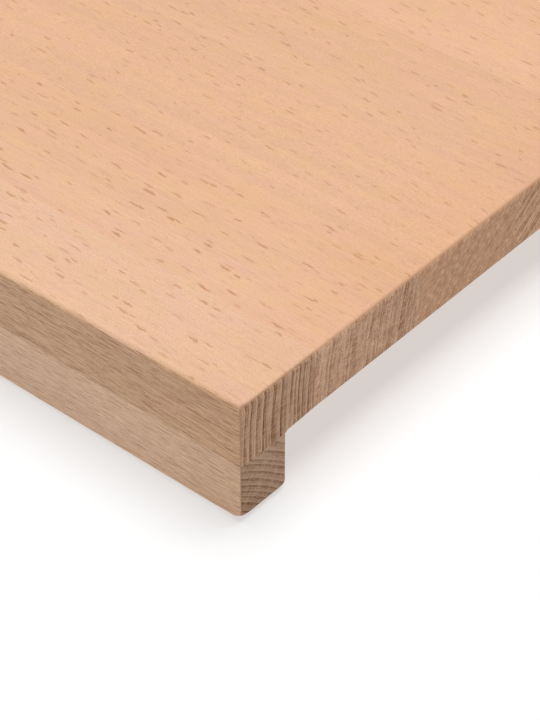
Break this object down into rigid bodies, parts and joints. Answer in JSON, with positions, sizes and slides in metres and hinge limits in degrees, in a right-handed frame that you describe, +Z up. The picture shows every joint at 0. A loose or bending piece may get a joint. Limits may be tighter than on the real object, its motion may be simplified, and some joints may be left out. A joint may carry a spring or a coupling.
{
  "type": "window sill board",
  "caption": "Solid wood window sill board of edge-glued staves, with rounded arrises and a nose strip glued under its front edge, flush with front and ends.",
  "frame": {"origin": "below the middle of the board's length and depth, at the level of the nose strip's foot", "axes": "+X along the board, +Y from the room towards the window, +Z up"},
  "size_m": [1, 0.25, 0.04],
  "materials": {
    "stave_wood": "fine sanded, steamed beech",
    "nose_wood": "fine sanded beech"
  },
  "bodies": {
    "root": {"front_stave": "stave_wood", "stave_2": "stave_wood", "stave_3": "stave_wood", "stave_4": "stave_wood", "stave_5": "stave_wood", "stave_6": "stave_wood", "nose_strip": "nose_wood"}
  },
  "joints": []
}
